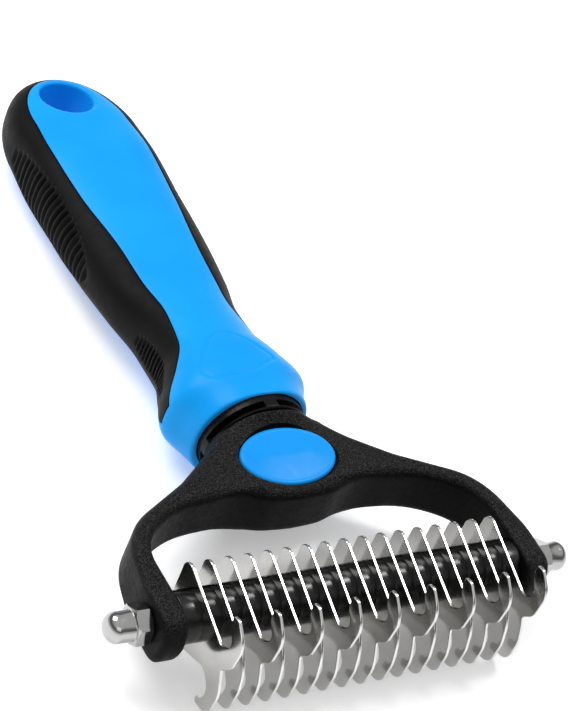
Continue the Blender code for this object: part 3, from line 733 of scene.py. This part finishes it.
def skin(s, share, front, inset=0.0):
    """Points of the handle's skin. s up to HANDLE_YC is a place along the side, and past it HANDLE_YC plus the angle round the end, up to 180 degrees.
    share runs from 0 on the middle line to 1 on the equator, and front is 1 or -1. The side is +X up to 90 degrees."""
    share, front, inset = np.broadcast_arrays(np.asarray(share, float), front, inset)
    angle = radians(max(0.0, s - HANDLE_YC))
    width = section(min(s, HANDLE_YC))[0] - inset
    x = width * share * cos(angle)
    y = min(s, HANDLE_YC) + (HANDLE_RY - inset) * share * sin(angle)
    _, thick, mid = section(y)
    p = power(y)
    rise = np.maximum(0.0, 1 - share ** p) ** (1 / p)
    return np.stack([x, y, mid + front * (thick - inset) * rise], -1)


def blue_share(s):
    if s <= HANDLE_YC:
        return table(BLUE, 1, s)
    t = min(s - HANDLE_YC, 180 - (s - HANDLE_YC)) / 90
    return BLUE[-1][1] + (BLUE_END - BLUE[-1][1]) * t * t * (3 - 2 * t)


def angle_of(share):
    return acos(min(1.0, share) ** (SUPER / 2))


def share_at(angle):
    return np.maximum(0.0, np.cos(angle)) ** (2 / SUPER)


GRIP_START = BLUE[0][0]


def seat(s):
    """Depth of the side grip below the skin, by place along the handle."""
    near = min(s, 2 * HANDLE_YC + 180 - s) if s > HANDLE_YC + 90 else s
    fade = min(1.0, max(0.0, near - (HANDLE_YC - 6.0)) / 40.0)
    return (GRIP_T + (GRIP_END_T - GRIP_T) * fade) * min(1.0, max(0.0, near - GRIP_START) / 8.0 + 0.3)


def closed_curve(points, steps=14):
    """Smooth closed curve through the points."""
    pts = np.array(points)
    out = []
    for i in range(len(pts)):
        p0, p1, p2, p3 = (pts[(i + k) % len(pts)] for k in (-1, 0, 1, 2))
        for k in range(steps):
            t = k / steps
            out.append(0.5 * (2 * p1 + (p2 - p0) * t + (2 * p0 - 5 * p1 + 4 * p2 - p3) * t**2 + (3 * p1 - p0 - 3 * p2 + p3) * t**3))
    return np.array(out)


PAD_CURVE = closed_curve(PAD)


def pad_depth(points):
    """How far the thumb rest lies below the skin: a fine groove round a slightly sunken field."""
    x, y = points[:, 0], points[:, 1]
    near = (np.abs(x + 2) < 13) & (y > 51) & (y < 72) & (points[:, 2] > 0)
    depth = np.zeros(len(points))
    if near.any():
        d = outline_distance(PAD_CURVE, x[near], y[near])
        depth[near] = 0.34 * np.exp(-(d / 0.42) ** 2) + 0.20 * ease(-d / 1.0)
    return depth


def body_columns(s, first, n_open=46, n_hidden=7):
    """(angle, inset) of one quarter of the body's section, from the middle line to the equator."""
    lip = 0.22 / 13
    if s <= GRIP_START + 0.3:
        edge, deep = angle_of(blue_share(GRIP_START)), 0.0
        lips = [(edge, 0.0)] * 3
    else:
        edge, deep = angle_of(blue_share(s)) + 0.05 / 13, seat(s) + 0.1
        lips = [(edge + 0.35 * lip, 0.05), (edge, 0.22), (edge, deep)]
    opened = [(angle, 0.0) for angle in np.linspace(pi / 2, edge + lip, n_open)]
    hidden = [(angle, deep) for angle in np.linspace(edge, 0.0, n_hidden + 1)[1:]]
    return opened + lips + hidden


def body_row(s, extra=0.0):
    """One row of points over the front and back, from the front's middle line round to the back's."""
    cols = body_columns(s, 0)
    angles = np.array([c[0] for c in cols])
    insets = np.array([c[1] for c in cols]) + extra
    shares = share_at(angles)
    front = skin(s, shares, 1, insets)
    back = skin(s, shares[:-1], -1, insets[:-1])[::-1]
    return np.concatenate([front, back]), np.concatenate([angles, -angles[:-1][::-1]])


def handle_mesh():
    rows = []
    inner = [(TANG_END + 0.9, TANG_RX - 0.3, TANG_RZ - 0.3, NECK_Z - 0.5), (53.6, TANG_RX + GAP, TANG_RZ + GAP, NECK_Z),
             (53.5, COLLAR_RX - 0.3, COLLAR_RZ - 0.3, NECK_Z), (MOUTH_Y, COLLAR_RX + GAP, COLLAR_RZ + GAP, NECK_Z)]
    row, angles = body_row(MOUTH_Y)
    for y, rx, rz, zc in inner:
        rows.append(np.stack([rx * np.cos(angles), np.full(len(angles), y), zc + rz * np.sin(angles)], 1))
    for s, extra in ((MOUTH_Y, 0.62), (MOUTH_Y + 0.06, 0.36), (MOUTH_Y + 0.2, 0.16), (MOUTH_Y + 0.42, 0.04), (MOUTH_Y + 0.75, 0.0)):
        rows.append(body_row(s, extra)[0])
    ys = np.concatenate([np.arange(49.0, 53.0, 0.7), np.arange(53.0, 70.5, 0.28), np.arange(70.8, 74.0, 0.8), np.arange(74.5, HANDLE_YC, 1.4), [HANDLE_YC]])
    ys = np.sort(np.concatenate([ys, [GRIP_START + 0.3, GRIP_START + 0.32]]))
    for y in ys:
        rows.append(body_row(y)[0])
    rows = np.array(rows)                                   # the +X half, from front middle to back middle
    half = rows.shape[1]
    other = rows * np.array([-1.0, 1.0, 1.0])
    ring = np.concatenate([rows, other[:, -2:0:-1]], axis=1)
    flat = ring.reshape(-1, 3)
    flat[:, 2] -= np.where(flat[:, 1] > 50, pad_depth(flat), 0.0)
    ring = flat.reshape(ring.shape)
    count, cols = ring.shape[:2]
    points = ring.reshape(-1, 3).tolist()
    faces = []
    for i in range(count - 1):
        for j in range(cols):
            k = (j + 1) % cols
            faces.append((i * cols + j, i * cols + k, (i + 1) * cols + k, (i + 1) * cols + j))
    points.append([0.0, TANG_END + 1.0, NECK_Z - 0.5])
    faces += [(j, (j + 1) % cols, len(points) - 1) for j in range(cols)]
    # the rounded end is a fan from the middle of the last row, over the front and over the back
    last = (count - 1) * cols
    steps = 60
    fan = [[last + j for j in range(half)]]
    for k in range(1, steps):
        row, _ = body_row(HANDLE_YC + 180.0 * k / steps)
        ids = [last]
        for p in row[1:-1]:
            points.append(p.tolist())
            ids.append(len(points) - 1)
        ids.append(last + half - 1)
        fan.append(ids)
    fan.append([last] + [last + cols - j for j in range(1, half - 1)] + [last + half - 1])
    for a, b in zip(fan, fan[1:]):
        for j in range(half - 1):
            face = [a[j], a[j + 1], b[j + 1], b[j]]
            clean = [v for n, v in enumerate(face) if v not in face[:n]]
            if len(clean) > 2:
                faces.append(tuple(clean))
    return mesh_of("handle_body_fine", points, faces)


def skin_height(x, y, front):
    """Height of the handle's skin over a point near the rounded end."""
    share = np.where(y <= HANDLE_YC, np.abs(x) / section(HANDLE_YC)[0],
                     np.hypot(x / section(HANDLE_YC)[0], (y - HANDLE_YC) / HANDLE_RY))
    _, thick, mid = section(y)
    p = power(y)
    return mid + front * thick * np.maximum(0.0, 1 - np.minimum(share, 1.0) ** p) ** (1 / p)


def hole_cutter():
    """The hanging hole with both its rims rolled over to follow the skin."""
    n, r = 72, 1.25
    a = 2 * pi * np.arange(n) / n
    rings = []

    def ring(grow, z):
        return np.stack([(HOLE_RX + grow) * np.cos(a), HOLE_Y + (HOLE_RY + grow) * np.sin(a), z], 1)

    def height(grow, front):
        return skin_height((HOLE_RX + grow) * np.cos(a), HOLE_Y + (HOLE_RY + grow) * np.sin(a), front)

    for front in (1, -1):
        part = []
        for beta in np.linspace(0, 76, 9):
            b = radians(beta)
            grow = r - r * cos(b)
            part.append(ring(grow, height(grow, front) - front * (r - r * sin(b))))
        b = radians(76)
        grow = r - r * cos(b) + 1.6 * sin(b)
        part.append(ring(grow, height(grow, front) - front * (r - r * sin(b) - 1.6 * cos(b))))
        part.append(ring(grow, np.full(n, front * 40.0)))
        rings = part[::-1] if front == 1 else rings + part
    return grid_loft("hole_cutter", rings, cap_start="flat", cap_end="flat")


body = with_cuts("handle_body_fine", handle_mesh(), [(hole_cutter(), "DIFFERENCE")])
finish_piece(link("handle_body_fine", body), BLUE_MAT, ["handle_body"], sharp=38.0)


def rib_depth(s, points):
    """Finger ribs across the side, in two sunken fields."""
    depth = np.zeros(len(points))
    for centre, half_length, half_height, pitch in RIB_FIELDS:
        if abs(s - centre) > half_length + 1 or s > HANDLE_YC + 1:
            continue
        mid = section(s)[2]
        level = np.hypot((s - centre) / half_length, (points[:, 2] - mid) / half_height)
        field = ease((1.0 - level) * half_height / 0.9)
        phase = ((s - centre) / pitch) % 1.0
        groove = 1.0 / (1.0 + exp((abs(phase - 0.5) - 0.23) / 0.035))
        depth = np.maximum(depth, field * (0.2 + 1.0 * groove))
    return depth


def grip_rows():
    rows = []
    side = np.concatenate([[GRIP_START + 0.6], np.arange(57.2, 61.0, 0.8), np.arange(61.4, 83.2, 0.165), np.arange(83.6, 102.6, 1.2),
                           np.arange(102.9, HANDLE_YC, 0.24)])
    for s in np.concatenate([side, HANDLE_YC + np.arange(0.0, 90.1, 3.0)]):
        edge = angle_of(blue_share(s)) - 0.06 / 13
        lip = min(0.25 / 13, edge * 0.2)
        angles = np.concatenate([[edge, edge - 0.3 * lip, edge - lip], np.linspace(edge - lip, -edge + lip, 38)[1:-1],
                                 [-edge + lip, -edge + 0.3 * lip, -edge]])
        insets = np.zeros(len(angles))
        insets[[0, -1]] = 0.26
        insets[[1, -2]] = 0.08
        insets = np.minimum(insets, seat(s) * 0.5)
        front = np.where(angles >= 0, 1, -1)
        outer = skin(s, share_at(np.abs(angles)), front, insets)
        insets = insets + rib_depth(s, outer)
        insets = np.minimum(insets, seat(s) - 0.15)
        outer = skin(s, share_at(np.abs(angles)), front, insets)
        inner = skin(s, share_at(np.abs(angles)), front, seat(s))[::-1]
        rows.append(np.concatenate([outer, inner]))
    return rows


rows = grip_rows()
rows += [row * np.array([-1.0, 1.0, 1.0]) for row in reversed(rows[:-1])]
mesh = grid_loft("side_grip_fine", rows, cap_start="strip", cap_end="strip")
finish_piece(link("side_grip_fine", mesh), GRIP_MAT, ["side_grip"], sharp=50.0)

# ---------------------------------------------------------------- floor, light and camera
mat, nt, bsdf = new_material("pale_floor", (0.93, 0.93, 0.935), 0.6, specular=0.2)
nt.links.new(mix(nt, spread(nt, noise(nt, 3.0, 2.0), 0.3, 0.7, 0.0, 1.0), (0.92, 0.92, 0.925), (0.94, 0.94, 0.945)), bsdf.inputs["Base Color"])
bsdf.inputs["Emission Color"].default_value = (1.0, 1.0, 1.0, 1.0)
bsdf.inputs["Emission Strength"].default_value = 0.32
floor_mesh = bpy.data.meshes.new("floor")
floor_mesh.from_pydata([(-3, -3, -0.0004), (3, -3, -0.0004), (3, 3, -0.0004), (-3, 3, -0.0004)], [], [(0, 1, 2, 3)])
floor = link("floor", floor_mesh)
floor.data.materials.append(mat)

world = bpy.data.worlds.new("studio")
world.use_nodes = True
bpy.context.scene.world = world
wn = world.node_tree
background = wn.nodes["Background"]
background.inputs["Color"].default_value = (1.0, 1.0, 1.0, 1.0)
coord = wn.nodes.new("ShaderNodeTexCoord")
sep = wn.nodes.new("ShaderNodeSeparateXYZ")
wn.links.new(coord.outputs["Generated"], sep.inputs[0])
ramp = wn.nodes.new("ShaderNodeValToRGB")
wn.links.new(sep.outputs[2], ramp.inputs[0])
ramp.color_ramp.interpolation = "EASE"
steps = ramp.color_ramp.elements
for at, level in ((0.0, 0.82), (0.10, 0.80), (0.24, 0.17), (0.42, 0.19), (0.68, 0.68), (1.0, 0.72)):
    stop = steps[0] if at == 0.0 else steps[-1] if at == 1.0 else steps.new(at)
    stop.position = at
    stop.color = (level, level, level, 1.0)
wn.links.new(ramp.outputs[0], background.inputs["Color"])


def area_light(name, place, target, size, size_y, energy, colour=(1, 1, 1)):
    data = bpy.data.lights.new(name, "AREA")
    data.shape = "RECTANGLE"
    data.size, data.size_y = size, size_y
    data.energy = energy
    data.color = colour
    obj = bpy.data.objects.new(name, data)
    bpy.context.scene.collection.objects.link(obj)
    obj.location = place
    obj.rotation_euler = (Vector(target) - Vector(place)).to_track_quat("-Z", "Y").to_euler()
    return obj


area_light("key", (-0.30, 0.34, 0.62), (0.0, 0.0, 0.0), 0.42, 0.42, 3.7)
area_light("fill", (0.37, -0.01, 0.60), (0.0, -0.07, 0.0), 0.15, 0.15, 1.3)
area_light("front", (-0.25, -0.50, 0.35), (0.0, -0.05, 0.0), 0.45, 0.25, 0.25)

K = 0.96e-3
azimuth, elevation, roll, focal = radians(-42.81), radians(39.49), radians(24.05), 2956.32
back = np.array([sin(azimuth) * cos(elevation), -cos(azimuth) * cos(elevation), sin(elevation)])
ahead = -back
right = np.cross(ahead, [0, 0, 1])
right /= np.linalg.norm(right)
up = np.cross(right, ahead)
R = cos(roll) * right + sin(roll) * up
U = -sin(roll) * right + cos(roll) * up
C = (-13.43 * R + 52.52 * U - 661.66 * ahead) * K + ORIGIN
data = bpy.data.cameras.new("camera")
camera = bpy.data.objects.new("camera", data)
bpy.context.scene.collection.objects.link(camera)
camera.matrix_world = Matrix(((R[0], U[0], -ahead[0], C[0]), (R[1], U[1], -ahead[1], C[1]), (R[2], U[2], -ahead[2], C[2]), (0, 0, 0, 1)))
data.sensor_width = 36.0
data.lens = focal * 36.0 / 711.0
data.clip_start = 0.001
data.clip_end = 20.0
bpy.context.scene.camera = camera
bpy.context.scene.view_settings.view_transform = "Standard"
